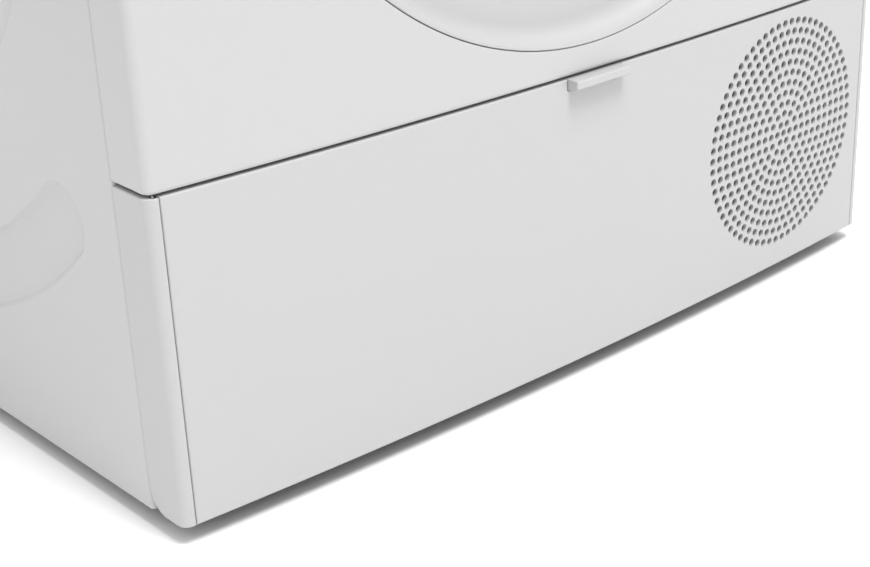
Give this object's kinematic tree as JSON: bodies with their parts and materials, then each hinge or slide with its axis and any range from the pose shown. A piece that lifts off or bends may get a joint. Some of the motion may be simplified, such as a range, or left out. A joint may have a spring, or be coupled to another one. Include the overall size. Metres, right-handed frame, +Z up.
{
  "type": "clothes dryer",
  "caption": "Front-loading heat-pump clothes dryer with a dished round door, a drop-down service flap with a round grille, a condensate drawer and a turning drum.",
  "frame": {"origin": "on the floor, under the middle of the whole machine's plan", "axes": "+Z up, -Y out of the front with the door, +X to the right of someone who faces the door"},
  "size_m": [0.598, 0.6176, 0.842],
  "materials": {
    "white_enamel": "satin white enamel with very fine orange peel",
    "white_plastic": "fine satin moulded white plastic",
    "white_laminate": "white laminate, satin",
    "grey_plastic": "light grey moulded plastic",
    "dark_plastic": "dark grey moulded plastic",
    "zinc_steel": "zinc-plated steel",
    "drum_steel": "brushed stainless steel",
    "black_rubber": "matt black rubber",
    "bearing_bronze": "sintered bronze",
    "coil_aluminium": "bright aluminium fins",
    "black_enamel": "black enamel",
    "board": "green circuit board with dark parts",
    "display_glass": "smoked glossy window"
  },
  "bodies": {
    "cabinet": {"side_panel_left": "white_enamel", "side_panel_right": "white_enamel", "front_panel": "white_enamel", "corner_strip_left": "white_plastic", "corner_strip_right": "white_plastic", "control_panel": "white_plastic", "worktop": "white_laminate", "front_bulkhead": "grey_plastic", "filter_duct": "grey_plastic", "rear_air_duct": "grey_plastic", "fan_housing": "grey_plastic", "heat_exchanger_cover": "grey_plastic", "cooling_fan_frame": "grey_plastic", "tank_shelf": "grey_plastic", "door_lock": "grey_plastic", "base_tray": "dark_plastic", "condensate_pump": "dark_plastic", "mains_gland": "dark_plastic", "back_panel": "zinc_steel", "rear_wall": "zinc_steel", "back_screws": "zinc_steel", "door_hinge_bracket": "zinc_steel", "roller_axles": "zinc_steel", "drive_belt": "black_rubber", "rear_feet": "black_rubber", "drum_bearing": "bearing_bronze", "evaporator": "coil_aluminium", "condenser": "coil_aluminium", "compressor": "black_enamel", "drum_motor": "black_enamel", "control_board": "board", "display_window": "display_glass"},
    "door": {"door_outer_shell": "white_plastic", "door_inner_plug": "grey_plastic", "door_seal": "black_rubber", "door_grip": "white_plastic", "door_latch_hook": "zinc_steel", "door_hinge_arms": "zinc_steel"},
    "flap": {"service_flap": "white_plastic"},
    "tab": {"flap_release_tab": "white_plastic"},
    "drum": {"drum": "drum_steel", "drum_paddles": "grey_plastic", "drum_shaft": "zinc_steel"},
    "rotor": {"motor_shaft_pulley": "zinc_steel", "process_fan": "grey_plastic"},
    "roller_left": {"front_roller_left": "black_rubber"},
    "roller_right": {"front_roller_right": "black_rubber"},
    "cooling_rotor": {"cooling_fan": "grey_plastic"},
    "dial": {"program_dial": "white_plastic"},
    "power": {"power_button": "white_plastic"},
    "start": {"start_button": "white_plastic"},
    "option_left": {"option_button_left": "white_plastic"},
    "option_right": {"option_button_right": "white_plastic"},
    "drawer": {"condensate_tank": "grey_plastic", "container_front": "white_plastic"},
    "filter": {"lint_filter": "dark_plastic"},
    "lever_left": {"cover_lever_left": "dark_plastic"},
    "lever_right": {"cover_lever_right": "dark_plastic"},
    "foot_left": {"front_foot_left": "black_rubber"},
    "foot_right": {"front_foot_right": "black_rubber"}
  },
  "joints": [
    {"name": "door_hinge", "type": "hinge", "parent": "cabinet", "child": "door", "pos_m": [0.241, -0.28625, 0.452], "axis": [0, 0, 1], "range_deg": [0, 140]},
    {"name": "flap_hinge", "type": "hinge", "parent": "cabinet", "child": "flap", "pos_m": [0, -0.27025, 0.02], "axis": [1, 0, 0], "range_deg": [0, 80]},
    {"name": "tab_pull", "type": "slide", "parent": "flap", "child": "tab", "axis": [0, -1, 0], "range_m": [0, 0.003], "stiffness_N_per_m": 400, "springref_m": -0.002},
    {"name": "drum_spin", "type": "hinge", "parent": "cabinet", "child": "drum", "pos_m": [0, 0, 0.5], "axis": [0, 1, 0], "continuous": true},
    {"name": "rotor_spin", "type": "hinge", "parent": "cabinet", "child": "rotor", "pos_m": [0.03, 0, 0.118], "axis": [0, 1, 0], "continuous": true},
    {"name": "roller_left_spin", "type": "hinge", "parent": "cabinet", "child": "roller_left", "pos_m": [-0.15165, -0.16225, 0.23733], "axis": [0, 1, 0], "continuous": true},
    {"name": "roller_right_spin", "type": "hinge", "parent": "cabinet", "child": "roller_right", "pos_m": [0.15165, -0.16225, 0.23733], "axis": [0, 1, 0], "continuous": true},
    {"name": "cooling_fan_spin", "type": "hinge", "parent": "cabinet", "child": "cooling_rotor", "pos_m": [0.1977, -0.23625, 0.1114], "axis": [0, 1, 0], "continuous": true},
    {"name": "dial_turn", "type": "hinge", "parent": "cabinet", "child": "dial", "pos_m": [0, -0.28625, 0.774], "axis": [0, 1, 0], "continuous": true},
    {"name": "power_press", "type": "slide", "parent": "cabinet", "child": "power", "axis": [0, 1, 0], "range_m": [0, 0.0012], "stiffness_N_per_m": 600, "springref_m": -0.0012},
    {"name": "start_press", "type": "slide", "parent": "cabinet", "child": "start", "axis": [0, 1, 0], "range_m": [0, 0.0012], "stiffness_N_per_m": 600, "springref_m": -0.0012},
    {"name": "option_left_press", "type": "slide", "parent": "cabinet", "child": "option_left", "axis": [0, 1, 0], "range_m": [0, 0.0012], "stiffness_N_per_m": 600, "springref_m": -0.0012},
    {"name": "option_right_press", "type": "slide", "parent": "cabinet", "child": "option_right", "axis": [0, 1, 0], "range_m": [0, 0.0012], "stiffness_N_per_m": 600, "springref_m": -0.0012},
    {"name": "drawer_slide", "type": "slide", "parent": "cabinet", "child": "drawer", "axis": [0, -1, 0], "range_m": [0, 0.38]},
    {"name": "filter_slide", "type": "slide", "parent": "cabinet", "child": "filter", "axis": [0, 0, 1], "range_m": [0, 0.14]},
    {"name": "lever_left_turn", "type": "hinge", "parent": "cabinet", "child": "lever_left", "pos_m": [-0.238, -0.25825, 0.1175], "axis": [0, 1, 0], "range_deg": [0, 90]},
    {"name": "lever_right_turn", "type": "hinge", "parent": "cabinet", "child": "lever_right", "pos_m": [-0.07, -0.25825, 0.1175], "axis": [0, -1, 0], "range_deg": [0, 90]},
    {"name": "foot_left_screw", "type": "slide", "parent": "cabinet", "child": "foot_left", "axis": [0, 0, -1], "range_m": [0, 0.01]},
    {"name": "foot_right_screw", "type": "slide", "parent": "cabinet", "child": "foot_right", "axis": [0, 0, -1], "range_m": [0, 0.01]}
  ],
  "couplings": [
    {"joint": "rotor_spin", "follows": "drum_spin", "ratio": 24.982},
    {"joint": "roller_left_spin", "follows": "drum_spin", "ratio": -12.773},
    {"joint": "roller_right_spin", "follows": "drum_spin", "ratio": -12.773}
  ]
}
